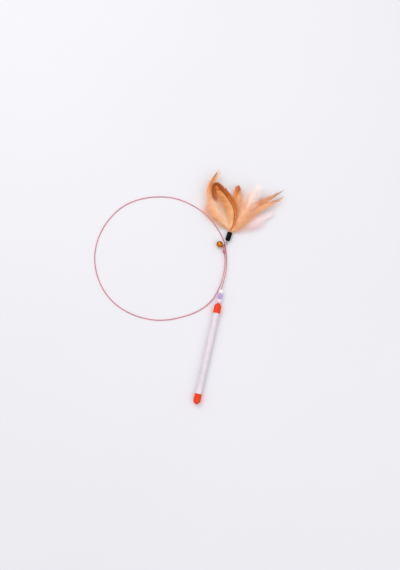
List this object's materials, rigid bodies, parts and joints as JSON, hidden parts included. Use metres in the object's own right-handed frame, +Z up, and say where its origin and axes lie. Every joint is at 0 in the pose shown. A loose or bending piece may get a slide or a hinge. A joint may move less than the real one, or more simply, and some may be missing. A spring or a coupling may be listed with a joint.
{
  "type": "cat teaser wand",
  "caption": "Cat teaser wand: capped tube handle, beads on a springy coated wire laid in a loop, and a jingle bell and feather lure hung from the eye at its end.",
  "frame": {"origin": "bottom centre of the box of the handle, beads, bell and lure, on the surface that the wand lies on; the wire's loop reaches out of that box to the left", "axes": "+Y along the handle from its butt towards the lure, +X to the right of it, +Z up from the surface"},
  "size_m": [0.2703, 0.3624, 0.0217],
  "materials": {
    "tube_plastic": "milky, softly glossy",
    "cap_orange": "soft moulded vinyl, satin gloss",
    "steel": "plain steel",
    "bead_pink": "pearly gloss",
    "bead_lilac": "pearly gloss",
    "bead_white": "pearly gloss",
    "wire_coating": "thin vinyl coating over spring steel",
    "dark_steel": "darkened spring wire",
    "bell_gold": "bright lacquered gold",
    "ferrule_black": "high gloss",
    "glue": "set glue",
    "hackle_orange": "dyed feather",
    "hackle_brown": "dyed feather, brown back",
    "down_pale": "fine down",
    "marabou_pink": "fluffy marabou",
    "marabou_peach": "fluffy marabou"
  },
  "bodies": {
    "wand": {"handle_tube": "tube_plastic", "top_cap": "cap_orange", "end_cap": "cap_orange", "wire_stop": "steel", "wire": "wire_coating", "wire_eye": "wire_coating"},
    "first_bead": {"bead_pink": "bead_pink"},
    "second_bead": {"bead_lilac": "bead_lilac"},
    "third_bead": {"bead_white": "bead_white"},
    "link": {"link": "dark_steel"},
    "lure": {"ferrule": "ferrule_black", "ferrule_loop": "dark_steel", "glue_plug": "glue", "feather_right": "hackle_orange", "feather_curled": "hackle_brown", "feather_tall": "hackle_orange", "feather_short": "hackle_orange", "plume_down": "down_pale", "plume_pink": "marabou_pink", "plume_peach": "marabou_peach"},
    "bell": {"bell_front_half": "bell_gold", "bell_back_half": "bell_gold", "bell_shank": "bell_gold"},
    "pellet": {"bell_pellet": "steel"}
  },
  "joints": [
    {"name": "first_bead_spin", "type": "hinge", "parent": "wand", "child": "first_bead", "pos_m": [-0.005, -0.02241, 0.0057], "axis": [0, 1, 0], "continuous": true},
    {"name": "second_bead_spin", "type": "hinge", "parent": "wand", "child": "second_bead", "pos_m": [-0.005, -0.01514, 0.0057], "axis": [0, 1, 0], "continuous": true},
    {"name": "third_bead_spin", "type": "hinge", "parent": "wand", "child": "third_bead", "pos_m": [-0.005, -0.00787, 0.0057], "axis": [0, 1, 0], "continuous": true},
    {"name": "link_swing", "type": "hinge", "parent": "wand", "child": "link", "pos_m": [-0.01624, 0.06216, 0.00385], "axis": [0, 0, 1], "range_deg": [-60, 10]},
    {"name": "lure_lift", "type": "hinge", "parent": "link", "child": "lure", "pos_m": [-0.01302, 0.06938, 0.00385], "axis": [0.9135, -0.4067, 0], "range_deg": [0, 90]},
    {"name": "bell_swing", "type": "hinge", "parent": "wand", "child": "bell", "pos_m": [-0.01624, 0.06216, 0.00495], "axis": [0, 0, 1], "range_deg": [0, 50]},
    {"name": "pellet_roll", "type": "hinge", "parent": "bell", "child": "pellet", "pos_m": [-0.023, 0.06398, 0.0053], "axis": [0.9647, -0.2585, -0.05], "continuous": true}
  ]
}
